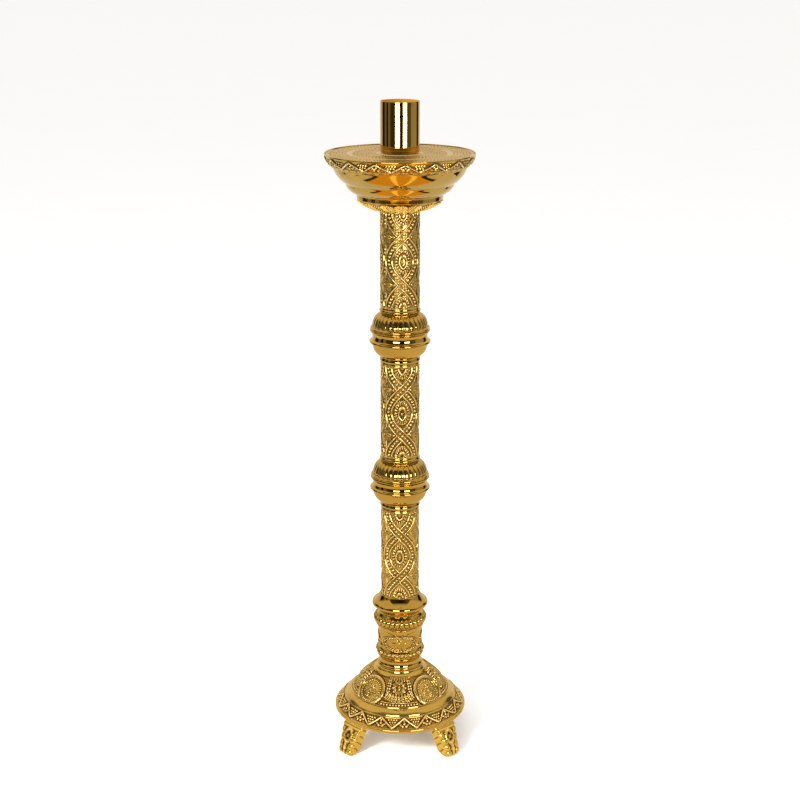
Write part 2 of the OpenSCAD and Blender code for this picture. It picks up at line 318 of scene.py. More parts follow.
polished = metal("polished_gold", GOLD, GOLD_RECESS_SHADE, GOLD_EDGE_GLINT, (0.02, 0.05), 0.35, 0.3)
cast = metal("cast_gold", GOLD, GOLD_RECESS_SHADE, GOLD_EDGE_GLINT, (0.04, 0.09), 1.0, 0.7, grain=0.12, haze=0.07,
             burnish=0.35)
chased = metal("chased_gold", GOLD, GOLD_RECESS_SHADE, GOLD_EDGE_GLINT, (0.04, 0.09), 0.9, 0.7, haze=0.01, burnish=0.3)
bright_cast = metal("bright_cast_gold", (0.80, 0.51, 0.10), GOLD_RECESS_SHADE, (0.95, 0.76, 0.34), (0.05, 0.12),
                    1.0, 0.7, grain=0.12, haze=0.14, burnish=0.3)
# Painted light: the calyx leaves get a brighter, yellower copy of the same gold as the rest
lit_leaf_gold = metal("lit_leaf_gold", (0.94, 0.60, 0.10), GOLD_RECESS_SHADE, (1.0, 0.80, 0.32), (0.06, 0.14), 1.0, 0.7,
                  grain=0.12, haze=0.2, burnish=0.4)
plate_gold = metal("plate_gold", (0.66, 0.45, 0.15), GOLD_RECESS_SHADE, GOLD_EDGE_GLINT, (0.22, 0.32), 1.0, 0.6, wave=0.1,
                   grain=0.35, grain_scale=900, haze=0.12)
brass = metal("plain_brass", (0.48, 0.33, 0.11), (0.16, 0.09, 0.02), (0.72, 0.55, 0.28), (0.22, 0.38), 0.5,
              0.5, grain=0.3, grain_scale=900)
satin = metal("satin_gold", (0.80, 0.42, 0.06), GOLD_RECESS_SHADE, GOLD_EDGE_GLINT, (0.35, 0.5), 0.4, 0.3, wave=0.1,
              grain=0.3, haze=0.35)
steel = metal("zinc_steel", (0.46, 0.46, 0.45), (0.10, 0.09, 0.08), (0.78, 0.78, 0.76), (0.22, 0.40), 0.7,
              0.6, wave=0.1, grain=0.3, grain_scale=700)

# ---- Stem tubes ----

STRAND_PERIOD = 49.6    # height between two crossings
STRAND_SWING = 44.5     # degrees to either side
RIDGE_OFFSET = 3.9      # from a strand's middle to its two ridges
RIDGE_HALF = 0.9
PEARL_STEP = 3.9
LIP = 1.5               # height of the smooth rims


def strand_pearls(swing, wave_number, first_cross, length):
    """Places of the pearls along the right-hand strand: sideways distance and height."""
    v = np.linspace(0, length, 2000)
    slope = swing * wave_number * np.cos(wave_number * (v - first_cross))
    run = np.concatenate([[0], np.cumsum(np.sqrt(1 + slope[1:] ** 2) * np.diff(v))])
    places = np.interp(np.arange(PEARL_STEP / 2, run[-1], PEARL_STEP), run, v)
    return [(swing * math.sin(wave_number * (p - first_cross)), p) for p in places]


def tube_relief(turn, over, radius, length):
    """Interlaced pearled strands round pointed rosettes, three times round the tube."""
    swing = math.radians(STRAND_SWING) * radius
    wave_number = math.pi / STRAND_PERIOD
    first_cross = length / 2 - STRAND_PERIOD / 2

    def relief(t, v, _r, _z):
        third = folded(t - turn, 120)
        u = np.radians(third) * radius + 0 * v
        v = v + 0 * u
        phase = wave_number * (v - first_cross)
        stretch_by = np.sqrt(1 + (swing * wave_number * np.cos(phase)) ** 2)
        side = np.radians(folded(third - 60, 120)) * radius
        height = np.maximum(rosette(u, folded(v - length / 2, STRAND_PERIOD)),
                            filler(side, folded(v - first_cross, STRAND_PERIOD)))
        for sign in (-over, over):
            d = (u - sign * swing * np.sin(phase)) / stretch_by
            strand = rise(np.abs(d) - RIDGE_OFFSET, RIDGE_HALF)
            for pearl_u, pearl_v in strand_pearls(swing, wave_number, first_cross, length):
                near = np.abs(v[:, 0] - pearl_v) < 2
                du, dv = u[near] - sign * pearl_u, v[near] - pearl_v
                strand[near] = np.maximum(strand[near], 1.55 * blob(du, dv, 1.65) - 0.4)
            height = np.where(np.abs(d) < RIDGE_OFFSET + RIDGE_HALF, strand, height)
        return height * np.clip(np.minimum(v, length - v) / 0.6, 0, 1)

    return relief


def rosette(u, v):
    """A smooth pointed ring, tip down, with a pearl in its eye and a burst of petals round it."""
    w = np.abs(u) / 4.9
    q = np.where(v > 0, np.hypot(w, v / 7.6), w * 0.55 + 0.45 * w ** 2 + (v / 8.8) ** 2)
    ring = 1.45 * rise((q - 0.78) * 4.9, 1.35, 0.5)
    pearl = 1.8 * blob(u, v + 1.0, 1.3, 1.6) - 1.0
    out = np.hypot(u / 9.2, v / 13.2)
    angle = np.degrees(np.arctan2(v / 1.45, u))
    inner, outer = np.clip((q - 1.13) / 0.12, 0, 1), np.clip((1.0 - out) / 0.12, 0, 1)
    petal = 1.3 * np.abs(np.cos(np.radians(angle * 10))) ** 0.7 * (inner * outer) ** 0.5 - 0.5
    return np.maximum.reduce([ring, pearl, petal])


def filler(u, v):
    """A four-leaved flower between two columns, with pearls beyond its tips."""
    height = blob(u, v, 1.7)
    for angle in (0, 90, 180, 270):
        a, b = turned_by(u, v, angle)
        length = 9.8 if angle in (0, 180) else 8.4
        height = np.maximum(height, 0.85 * leaf(a, b - 1.2, length, 3.1, 1.9))
    for angle in CORNERS:
        a, b = turned_by(u, v, angle)
        height = np.maximum(height, 0.65 * leaf(a, b - 1.8, 5.6, 1.7))
    for pearl_u, pearl_v in ((0, 13.2), (0, -13.2), (11.8, 0), (-11.8, 0), (0, 17), (0, -17),
                             (6.6, 9.2), (-6.6, 9.2), (6.6, -9.2), (-6.6, -9.2)):
        height = np.maximum(height, 0.85 * blob(u - pearl_u, v - pearl_v, 1.45))
    return 1.45 * height - 0.4


def stem_tube(node, turn, over):
    low, high, radius = span(node)
    ground = radius - 0.85
    bore = radius - 2.4
    relief = tube_relief(turn, over, radius, high - low - 2 * LIP)
    turned(node + "_cast", [
        stretch(line([bore, low], [radius - 0.2, low])),
        stretch(bow([radius - 0.2, low + 0.15], [radius - 0.2, low + LIP - 0.15], 0.2, 4), 0.4),
        stretch(line([ground, low + LIP], [ground, high - LIP]), 0.44, relief),
        stretch(bow([radius - 0.2, high - LIP + 0.15], [radius - 0.2, high - 0.15], 0.2, 4), 0.4),
        stretch(line([radius - 0.2, high], [bore, high])),
    ], 396, cast, [node], passes=1)


stem_tube("lower_tube", 0, 1)
stem_tube("middle_tube", 8, -1)
stem_tube("upper_tube", 10.4, -1)

# ---- Stem knops ----

LOBES = 28
LOBE_TURN = 3


def lobes(t, v, _r, _z):
    """Rounded lobes side by side, round at their lower ends."""
    pitch = 360 / LOBES
    across = folded(t - LOBE_TURN, pitch) / (pitch / 2)
    under = np.clip((3.3 - v) / 3.0, 0, 9)
    return 0.85 * np.clip(1 - across ** 2 - under ** 2, 0, 1) ** 0.4


def stem_knop(bowl, dome):
    low, _, radius = span(bowl)
    low += 3
    r, z = radius, low
    belt = z + 36.2
    top = span(dome)[1] - 3
    turned(bowl + "_spun", [
        stretch(line([5.4, z], [20.4, z])),
        stretch(line([20.7, z + 0.2], [20.7, z + 1.1]), 0.5),
        stretch(line([20.1, z + 1.4], [20.1, z + 1.8]), 0.4),
        stretch(bow([20.4, z + 2], [20.7, z + 6.4], 0.95, 8), 0.5),
        stretch(line([20.4, z + 6.9], [20.8, z + 7.5]), 0.4),
        stretch(bow([21.4, z + 8], [r - 3.2, z + 19.5], 1.7, 12), 0.6),
        stretch(line([r - 2.9, z + 20.2], [r - 2.6, z + 21.2]), 0.4),
        stretch(arc(r - 1.7, z + 23.4, 1.7, -70, 75, 10), 0.4),
        stretch(bow([r - 2.4, z + 25.6], [r - 1.4, z + 34.2], -1.3, 10), 0.6),
        stretch(bow([r - 0.9, z + 34.6], [r - 0.9, belt - 0.2], 0.5, 5), 0.35),
        stretch(line([r - 1.6, belt], [r - 5, belt])),
        stretch(bow([r - 5, z + 21], [21, z + 9], -1.5, 6)),
        stretch(line([20, z + 3], [5.4, z + 3])),
    ], 256, polished, [bowl])
    turned(dome + "_cast", [
        stretch(line([r - 5, belt], [r - 1.9, belt])),
        stretch(arc(r - 2.3, belt + 1.5, 1.4, -60, 70, 8), 0.4),
        stretch(oval_arc(19.4, z + 39.6, r - 23.2, 12.9, 2, 84, 16), 0.42, lobes),
        stretch(bow([19.9, z + 53], [20.1, z + 54.6], -0.2, 4), 0.4),
        stretch(bow([20.4, z + 54.9], [20.4, z + 58.9], 1.35, 8), 0.45),
        stretch(line([20.5, z + 59.3], [20.6, top - 0.2]), 0.4),
        stretch(line([20.4, top], [5.4, top], [5.4, top - 3], [16, top - 3])),
        stretch(oval_arc(18.4, z + 38.2, r - 23.2, 12, 85, 5, 8)),
    ], LOBES * 16, chased, [dome])


stem_knop("lower_knop_bowl", "lower_knop_dome")
stem_knop("upper_knop_bowl", "upper_knop_dome")

# ---- Zigzag bands of the base and the pan ----

ZIGZAGS = 16
ZIGZAG_TURN = 5.3


def zigzag(height_mm, start, fringe=0.0):
    """Ribs in a zigzag, with leaves and three pearls under each peak and a triangle of beads in each valley.

    The zigzag begins start above the stretch's edge. A fringe is a row of leaves that hangs below it.
    """

    def relief(t, v, r, _z):
        pitch = 360 / ZIGZAGS
        phase = folded(t - ZIGZAG_TURN, pitch)
        u = np.radians(phase) * r
        half = np.radians(pitch / 2) * r
        y = v - start + 0 * u
        slant = np.sqrt(1 / half ** 2 + 1 / height_mm ** 2)
        d = (np.abs(u) / half + y / height_mm - 1) / slant
        height = (y > -0.4) * (y < height_mm + 0.4) * 1.15 * rise(d, 1.15, 0.6)
        for pu, pv, size in ((-1.9, 2.2, 1.7), (1.9, 2.2, 1.7), (0, 4.9, 1.6)):
            height = np.maximum(height, 1.1 * blob(u - pu, y - pv, size) - 0.1)
        for turn in (-58, 58):
            a, b = turned_by(u, y - 1.4, turn)
            height = np.maximum(height, 0.75 * leaf(a, b - 2.2, 4.6, 1.2))
        height = np.maximum(height, 0.8 * leaf(u, y - 6.6, 4.6, 1.3))
        w = np.radians(folded(t - ZIGZAG_TURN - pitch / 2, pitch)) * r
        for down, count in ((2.0, 4), (4.6, 3), (7.2, 2), (9.6, 1)):
            for k in range(count):
                at = (k - (count - 1) / 2) * 2.8
                height = np.maximum(height, 0.85 * blob(w - at, y - height_mm + down, 1.25) - 0.1)
        height = 1.35 * height
        to_end = np.max(v) - v
        if fringe:
            height = np.where(v < fringe, fringe_leaves(t, v, r, fringe), height)
        else:
            height = height - 0.35
            to_end = np.minimum(v, to_end)
        return height * np.clip(to_end / 0.7, 0, 1)

    return relief


def fringe_leaves(t, v, r, reach):
    """A row of small pointed leaves that hang from the band."""
    pitch = 360 / 48
    u = np.radians(folded(t - ZIGZAG_TURN, pitch)) * r
    return 0.75 * leaf(u, reach - v + 0.6, reach + 0.6, 0.46 * math.radians(pitch) * np.max(r)) - 0.15


# ---- Base ----

base_low, crown, flange_r = span("base_shell")
FLANGE_HOLE_R = 49.7


def base_flange():
    r, z = flange_r, base_low
    turned("base_flange_cast", [
        stretch(line([FLANGE_HOLE_R, z], [r - 1.9, z])),
        stretch(arc(r - 1.4, z + 1.3, 1.3, -80, 0, 5), 0.4),
        stretch(arc(r - 1.5, z + 2.8, 1.4, 0, 75, 6), 0.4),
        stretch(line([r - 2.2, z + 4.0], [r - 2.5, z + 4.4]), 0.3),
        stretch(bow([r - 2.5, z + 4.8], [r - 10.5, z + 14.3], -0.5, 10), 0.42, zigzag(11.2, 0.5)),
        stretch(line([r - 11.3, z + 14.6], [r - 11.8, z + 15.4]), 0.4),
        stretch(bow([r - 11.8, z + 15.8], [r - 17.8, z + 20.6], 0.6, 8), 0.5),
        stretch(line([r - 18.0, z + 20.8], [r - 18.4, z + 22.2], [r - 19.0, z + 22.4]), 0.3),
        stretch(line([r - 20.6, z + 20.6], [r - 13.8, z + 13.4], [r - 6.4, z + 5], [r - 6.4, z + 3],
                     [FLANGE_HOLE_R, z + 3])),
    ], 1024, cast, ["base_shell"])


def medallion(points, azimuth):
    """Height of a round medallion: a smooth raised ring in a sunk groove, pearls and a flower inside."""
    centre_r, centre_z, tilt = flange_r - 27.2, base_low + 32.8, math.radians(43.5)
    ring_r, pearls_r, ground = 16.0, 11.8, -0.6
    a = math.radians(azimuth)
    out = np.array([math.sin(a), -math.cos(a), 0])
    across = np.array([math.cos(a), math.sin(a), 0])
    up = np.array([0, 0, math.sin(tilt)]) - out * math.cos(tilt)
    from_centre = points - (out * centre_r + np.array([0, 0, centre_z]))
    u, v = from_centre @ across, from_centre @ up
    facing = from_centre @ out > -20
    d = np.hypot(u, v)
    ring = 1.9 * rise(d - ring_r, 2.0, 0.5) - 0.6 * rise(d - ring_r - 2.5, 0.9)
    inner_ring = 1.3 * rise(d - 13.2, 0.6) + ground
    angle = np.degrees(np.arctan2(u, v))
    pearls = 1.5 * blob(np.radians(folded(angle, 360 / 30)) * pearls_r, d - pearls_r, 1.05) + ground
    flower = 1.2 * blob(u, v, 2.2)
    for turn in range(0, 360, 45):
        p, q = turned_by(u, v, turn)
        length, width = (7.9, 2.5) if turn % 90 == 0 else (5.9, 1.7)
        flower = np.maximum(flower, 1.6 * leaf(p, q - 1.5, length, width, 1.7) + ground)
        p, q = turned_by(u, v, turn + 22.5)
        flower = np.maximum(flower, 1.3 * blob(p, q - 8.2, 1.0) + ground)
    inside = np.where(d < ring_r - 2.0, np.maximum.reduce([inner_ring, pearls, flower]), 0)
    return np.where(facing & (d < ring_r + 3.4), ring + inside, np.nan)


def dome_panel(t, v, r, z):
    """Panel between two medallions: flower, fans of leaves, ladders and a bead line."""
    quarter = folded(t, 90)
    u = np.radians(quarter) * r + 0 * v
    y = z - base_low + 0 * u
    up = (y - 37.6) / 0.72
    # Flower with an upright oval eye
    height = np.maximum(1.25 * blob(u, up, 1.9, 3.4), 0.55 * rise(np.hypot(u / 2.7, up / 4.3) - 1, 0.16))
    for turn in range(0, 360, 30):
        p, q = turned_by(u, up / 1.15, turn)
        height = np.maximum(height, 0.95 * leaf(p, q - 3.4, 5.0, 1.55))
    # Fan of leaves below the flower
    fan_u, fan_v = np.degrees(np.arctan2(u, -(up - 12.0))), np.hypot(u, up - 12.0)
    spoke = folded(fan_u, 9.0)
    in_fan = (np.abs(fan_u) < 50) & (up < -1)
    fan = leaf(np.radians(spoke) * fan_v, fan_v - 19.0, 11.2, 1.9, 2.4)
    height = np.maximum(height, in_fan * fan)
    between = leaf(np.radians(folded(fan_u + 4.5, 9.0)) * fan_v, fan_v - 25.0, 5.6, 1.15)
    height = np.maximum(height, in_fan * 0.7 * between)
    # Fan of small leaves above the flower, towards the crown
    above = leaf(np.radians(folded(quarter, 5)) * r, up - 7.2, 5.6, 1.3)
    height = np.maximum(height, (np.abs(quarter) < 19) * 0.8 * above)
    # Ladders of square beads beside the medallions
    for side in (-1, 1):
        for column in (0, 1):
            at = side * (15.2 + 3.4 * column)
            du = np.radians(quarter - at) * r
            rung = folded(up + 1.2, 2.9)
            square = np.clip(1 - (du / 1.15) ** 4 - (rung / 1.25) ** 4, 0, 1) ** 0.6
            height = np.maximum(height, (up > -5) * (up < 8.2) * 0.9 * square)
    # Bead line along the bottom
    beads = np.radians(folded(t, 360 / 96)) * r
    height = np.maximum(height, blob(beads, v - 2.2, 1.5) - 0.1)
    height = np.maximum(height, 0.5 * rise(v - 4.6, 0.6))
    return 1.5 * height - 0.5


def dome_relief(t, v, r, z):
    height = dome_panel(t, v, r, z)
    points = around_axis(r, t, z)
    for azimuth in CORNERS:
        shield = medallion(points, azimuth)
        height = np.where(np.isnan(shield), height, shield)
    return height * np.clip(np.minimum(v, np.max(v) - v) / 0.8, 0, 1)


def base_dome():
    r, z = flange_r, base_low
    turned("base_dome_cast", [
        stretch(line([r - 21.6, z + 20.8], [r - 19.4, z + 21.3])),
        stretch(bow([r - 19.5, z + 21.6], [r - 43.2, z + 45.8], 1.3, 16), 0.42, dome_relief),
        stretch(line([r - 43.5, z + 46.0], [r - 43.9, z + 46.5]), 0.4),
        stretch(bow([r - 44, z + 46.8], [r - 47.2, crown], -0.9, 8), 0.5),
        stretch(line([5.4, crown], [5.4, crown - 4], [25, crown - 4], [r - 44.8, z + 44.2],
                     [r - 32, z + 32.6])),
    ], 920, cast, ["base_shell"])


def base_neck():
    low, high, _ = span("base_neck")
    turned("base_neck_spun", [
        stretch(line([5.4, low], [24.5, low])),
        stretch(bow([24.7, low + 0.2], [24.3, low + 2.8], 0.6, 6), 0.4),
        stretch(line([24, low + 3.1], [23.7, low + 3.3]), 0.3),
        stretch(bow([23.6, low + 3.6], [24.0, high - 0.9], -0.9, 12), 0.5),
        stretch(line([24.2, high - 0.6], [24.0, high]), 0.4),
        stretch(line([23.8, high], [5.4, high])),
    ], 256, polished, ["base_neck"])


base_flange()
base_dome()
base_neck()

# ---- Cast knop above the base ----


def cast_knop():
    z, top, _ = span("lower_knop")
    pitch = 360 / 32

    def garland(t, v, r, _z):
        """Two rows of beads, with a bud at each corner."""
        u = np.radians(folded(t, pitch)) * r
        between = np.radians(folded(t - pitch / 2, pitch)) * r
        corner = np.radians(folded(t - 60, 120)) * r
        height = np.maximum(0.8 * blob(u, v - 2.6, 2.3, 1.3), 1.5 * blob(between, v - 6.4, 2.2, 2.4) - 0.2)
        bud = 1.9 * blob(corner, v - 5.4, 3.4, 4.6)
        return np.where(np.hypot(corner / 4.2, (v - 5.4) / 5.3) < 1, bud, height) - 0.1

    def drum(t, v, r, _z):
        """Three oval medallions with a pearled border and small leaves."""
        wide, tall, beads = 21.4, 9.4, 34
        u = np.radians(folded(t, 120)) * r
        y = v - 9.0
        q = np.hypot(u / wide, y / tall)
        around = np.arctan2(y / tall, u / wide)
        bead = 1.5 * blob(folded(around, 2 * np.pi / beads) * 15.2, (q - 0.85) * 10.8, 1.35)
        rims = rise((q - 0.99) * 10, 0.5) + 0.4 * rise((q - 0.70) * 10, 0.5)
        height = np.maximum(rims, bead - 0.15)
        field = np.full_like(q, 0.15)
        for turn in range(0, 360, 60):
            p, w = turned_by(u / 1.5, y, turn + 30)
            field = np.maximum(field, 0.15 + 0.45 * leaf(p, w - 1.2, 4.6, 1.7, 1.2))
        field = np.maximum(field, 0.7 * blob(u, y, 1.6))
        for side in (-1, 1):
            field = np.maximum(field, 0.15 + 0.4 * leaf(*turned_by(side * u - 6.2, y, 80), 6.4, 2.2, 1.6))
        height = np.where(q < 0.68, field, height)
        corner = np.radians(folded(t - 60, 120)) * r
        shell = 1.3 * blob(corner, v - 2.6, 2.6, 3.4)
        return np.where(q > 1.04, np.maximum(shell, np.where(q < 1.12, -0.5, 0)), height)

    def arches(t, v, r, _z):
        """A smooth cove whose lower edge steps down between the medallions."""
        third = np.abs(folded(t - 60, 120)) / 60
        edge = 1.2 + 6.6 * (1 - third) ** 1.5
        return 0.55 / (1 + np.exp(-(v - edge) / 0.22)) + 0 * r

    def eggs(t, v, r, _z):
        """Egg-shaped beads with a small dart between each two."""
        u = np.radians(folded(t - pitch / 2, pitch)) * r
        egg = 1.9 * blob(u, v - 6.4, 2.75, 4.6, 0.6)
        dart = 0.7 * blob(np.radians(folded(t, pitch)) * r, v - 8.6, 0.8, 2.2)
        return np.maximum(egg, dart)

    turned("lower_knop_cast", [
        stretch(line([5.4, z], [23.6, z])),
        stretch(bow([23.9, z + 0.5], [24.2, z + 9.4], 1.9, 12), 0.42, garland),
        stretch(line([23.6, z + 9.8], [23.6, z + 10.2]), 0.4),
        stretch(line([23.6, z + 10.4], [23.6, z + 28.4]), 0.42, drum),
        stretch(bow([23.8, z + 28.6], [26.3, z + 37.6], -0.4, 8), 0.42, arches),
        stretch(bow([26.3, z + 38], [24.7, z + 49.2], 1.9, 12), 0.42, eggs),
        stretch(line([24.4, z + 49.8], [23.6, top]), 0.4),
        stretch(line([23.2, top], [5.4, top], [5.4, top - 3], [21.6, top - 3], [21.6, z + 3], [5.4, z + 3])),
    ], 640, chased, ["lower_knop"])


def stem_cup():
    z, top, _ = span("stem_cup")
    top -= 3
    turned("stem_cup_spun", [
        stretch(line([5.4, z], [23.1, z])),
        stretch(line([23.3, z + 0.2], [22.9, z + 1.4]), 0.4),
        stretch(bow([23.1, z + 1.8], [26, z + 5.6], -0.5, 8), 0.5),
        stretch(arc(26.8, z + 10.2, 3.8, -78, 42, 16), 0.5),
        stretch(bow([28.8, z + 13.4], [21.8, top + 1.3], -0.8, 8), 0.5),
        stretch(line([21.4, top + 1.5], [20.95, top + 1.4]), 0.3),
        stretch(line([20.95, top], [5.4, top])),
    ], 256, polished, ["stem_cup"])


cast_knop()
stem_cup()

# ---- Leaf calyx ----

LEAVES = 16
CALYX_TURN = 3.0


def calyx():
    """Pointed leaves that spread under the pan, each with a midrib and curved side lobes."""
    z = span("calyx")[0] + 3
    outer = bow([21.0, z + 0.3], [43.4, z + 10.2], 1.1, 24)
    inner = bow([43.2, z + 11.0], [23, z + 3.2], -1.0, 24)
    cols, rows = LEAVES * 56, 56
    t = np.arange(cols) * 360 / cols
    pitch = 360 / LEAVES
    q = np.abs(folded(t - CALYX_TURN, pitch)) / (pitch / 2)
    teeth = 0.018 * (1 - np.abs(folded(q * 3.2, 1.0)) * 2)
    reach = np.clip(1.015 - 0.26 * q ** 1.8 + teeth, 0, 1)
    s = np.linspace(0, 1, rows)[:, None]

    def at(curve, share):
        run = along(curve)
        return np.interp(share, run / run[-1], curve[:, 0]), np.interp(share, run / run[-1], curve[:, 1])

    share = s * reach[None, :]
    r, height_z = at(outer, share)
    after_r, after_z = at(outer, np.clip(share + 0.01, 0, 1))
    before_r, before_z = at(outer, np.clip(share - 0.01, 0, 1))
    run_r, run_z = after_r - before_r, after_z - before_z
    length = np.hypot(run_r, run_z) + 1e-9
    mm = share * along(outer)[-1]
    side = np.radians(folded(t - CALYX_TURN, pitch))[None, :] * r
    half = np.radians(pitch / 2) * r
    body = 1.3 * np.clip(1 - (side / half) ** 2, 0, 1) ** 0.5 - 0.3
    lobed = np.cos(2 * np.pi * (mm - 1.1 * np.abs(side)) / 3.0)
    veins = 0.5 * lobed * rise(np.abs(side) - 0.5 * half, 0.5 * half)
    rib = 1.1 * rise(side, 0.9)
    relief = (body + veins + rib) * np.clip(share * 9, 0, 1) - 0.3
    r = r + run_z / length * relief
    height_z = height_z - run_r / length * relief
    back_share = np.linspace(1, 0, 14)[1:-1, None]
    back_r, back_z = at(inner[::-1], back_share * reach[None, :])
    core_r, core_z = line([14.0, z + 3.2], [14.0, z + 11], [5.4, z + 11], [5.4, z]).T[:, :, None]
    points = np.concatenate([around_axis(r, t, height_z), around_axis(back_r, t, back_z),
                             around_axis(core_r, t, core_z)])
    hollow = np.zeros(points.shape[:2])
    hollow[:rows] = sunk(relief)
    new_piece("calyx_cast", points, lit_leaf_gold, ["calyx"], hollow)


calyx()

# ---- Drip pan ----


def pan():
    low, rim, radius = span("pan_bowl")
    r, z = radius, low
    turned("pan_bowl_spun", [
        stretch(line([5.4, z], [r - 34.2, z])),
        stretch(arc(r - 34.2, z + 1.0, 1.0, -80, -10, 6), 0.3),
        stretch(line([r - 33.2, z + 1.2], [r - 32.4, z + 5.2]), 0.5),
        stretch(line([r - 32.0, z + 5.8], [r - 29, z + 7.0]), 0.5),
        stretch(bow([r - 28.6, z + 7.2], [r - 21.3, z + 16.2], 1.2, 12), 0.7),
        stretch(line([r - 21.1, z + 16.6], [r - 20.3, z + 17.2]), 0.4),
        stretch(bow([r - 19.8, z + 17.4], [r - 8.9, z + 32.2], 1.5, 16), 0.8),
        stretch(line([r - 8.7, z + 32.6], [r - 8.4, z + 33.0]), 0.3),
        stretch(bow([r - 8.2, z + 33.2], [r - 0.9, z + 44.6], 0.6, 10), 0.45, zigzag(8.6, 4.2, 4.0)),
        stretch(arc(r - 1.1, rim - 1.1, 1.1, -30, 120, 10), 0.35),
        stretch(line([r - 1.9, rim - 2.5], [r - 3.4, rim - 2.5])),
        stretch(bow([r - 4, rim - 4], [r - 35, z + 6.5], 0.6, 10)),
        stretch(line([r - 35, z + 1.8], [5.4, z + 1.8])),
    ], 720, chased, ["pan_bowl"])


def pan_plate():
    low, _, radius = span("pan_plate")
    top = low + 1.5
    ring_r = 0.68 * radius
    row_step = 3.0

    def scales(t, r, count, height, wide, deep):
        pitch = 360 / count
        shift = np.round(r / row_step) % 2 * pitch / 2
        u = np.radians(folded(t + shift, pitch)) * r
        return height * blob(u, folded(r, row_step), wide, deep, 0.5)

    def relief(t, v, r, _z):
        """Staggered rows of scales inside and outside a raised ring."""
        height = np.where(r > 0.72 * radius, scales(t, r, 96, 0.45, 1.8, 1.7),
                          scales(t, r, 60, 0.42, 1.6, 1.5))
        clear = (np.abs(r - ring_r) < 2.6) | (r < 24.5) | (r > radius - 2.2)
        return np.where(clear, 0, height - 0.22)

    surface = np.vstack([line([radius - 0.2, top]), line([ring_r + 2.2, top]),
                         bow([ring_r + 1.4, top + 0.05], [ring_r - 1.4, top + 0.05], 0.75, 8),
                         line([ring_r - 2.2, top]), line([24.0, top])])
    turned("pan_plate_embossed", [
        stretch(line([5.4, low], [radius, low], [radius, top - 0.2])),
        stretch(surface, 0.55, relief),
        stretch(bow([23.6, top + 0.05], [21.2, top + 0.2], 0.9, 6), 0.4),
        stretch(line([20.4, top], [5.4, top])),
    ], 768, plate_gold, ["pan_plate"], passes=1)


pan()
pan_plate()

# ---- Candle socket and its hub ----


def candle_socket():
    low, high, radius = span("socket_tube")
    _, hub_top, hub_r = span("socket_hub")
    bore = 19.2
    tube = turned("socket_tube_spun", [
        stretch(line([hub_r, low], [radius - 0.5, low])),
        stretch(arc(radius - 0.4, low + 0.5, 0.4, -80, 0, 4), 0.15),
        stretch(line([radius, low + 1], [radius, high - 0.6]), 2.5),
        stretch(arc((radius + bore) / 2, high - 0.4, (radius - bore) / 2, 0, 180, 10)),
        stretch(line([bore, high - 1], [bore, hub_top], [hub_r, hub_top])),
    ], 256, polished, ["socket_tube"], body="socket", passes=0)
    tube.materials.append(satin)
    for face in tube.polygons:
        face.material_index = int(face.center.xy.length < (bore + 0.2) * MM and face.center.z > hub_top * MM)


candle_socket()

# ---- Tie rod with its screw threads ----


def threaded_rod(name, low, high, radius, pitch, threaded, at, nodes):
    """A rod with a screw thread at both ends, as one swept grid."""
    depth, per_turn, steps = 0.55 * pitch, 36, 8
    rows = max(4, int(threaded / pitch * steps))
    z = np.concatenate([np.linspace(low, low + threaded, rows),
                        np.linspace(low + threaded, high - threaded, 8)[1:-1],
                        np.linspace(high - threaded, high, rows)])[:, None]
    t = np.arange(per_turn)[None, :] * 360 / per_turn
    wave = np.abs(folded(z - pitch * t / 360, pitch)) / (pitch / 2)
    from_end = np.minimum(z - low, high - z)
    ends = np.clip(from_end / (0.8 * pitch), 0, 1)
    middle = np.clip((from_end - threaded) / 2.0, 0, 1)
    cut = depth * (1 - middle) * np.clip(wave * 1.3 - 0.2, 0, 1)
    r = radius - cut - 0.1 * middle - (1 - ends) * 0.5 * pitch
    points = np.concatenate([around_axis(0.02, t, low), around_axis(r, t, z), around_axis(0.02, t, high)])
    new_piece(name, points + np.array([*at, 0]), steel, nodes)


rod_low, rod_high, rod_r = span("tie_rod")
threaded_rod("tie_rod_threaded", rod_low, rod_high, rod_r, 1.5, 42.0, (0, 0), ["tie_rod"])

# ---- Feet ----


def smoothed(curve):
    for _ in range(6):
        curve[1:-1] = (curve[:-2] + 2 * curve[1:-1] + curve[2:]) / 4
    return curve


STUD_CIRCLE_R = 57.7
FOOT_LOBE = 7.2
FOOT_KEYS = (0, 0.06, 0.2, 0.38, 0.55, 0.72, 0.87, 0.96, 1.0)
FOOT_FACE_R = (72.6, 73.6, 76.0, 79.2, 81.6, 84.0, 85.3, 84.8, 82.4)
FOOT_FACE_Z = (32.4, 31.0, 26.6, 20.6, 15.0, 9.2, 4.4, 1.4, 0.2)
FOOT_BACK_R = (50.4, 53.6, 59.6, 62.2, 63.4, 66.4, 71.6, 75.6, 78.4)
FOOT_BACK_Z = (32.4, 30.2, 25.6, 19.0, 12.6, 6.4, 2.0, 0.6, 0.1)
FOOT_WIDTH = (29.6, 29.4, 27.2, 23.8, 21.4, 20.2, 19.6, 18.4, 13.6)


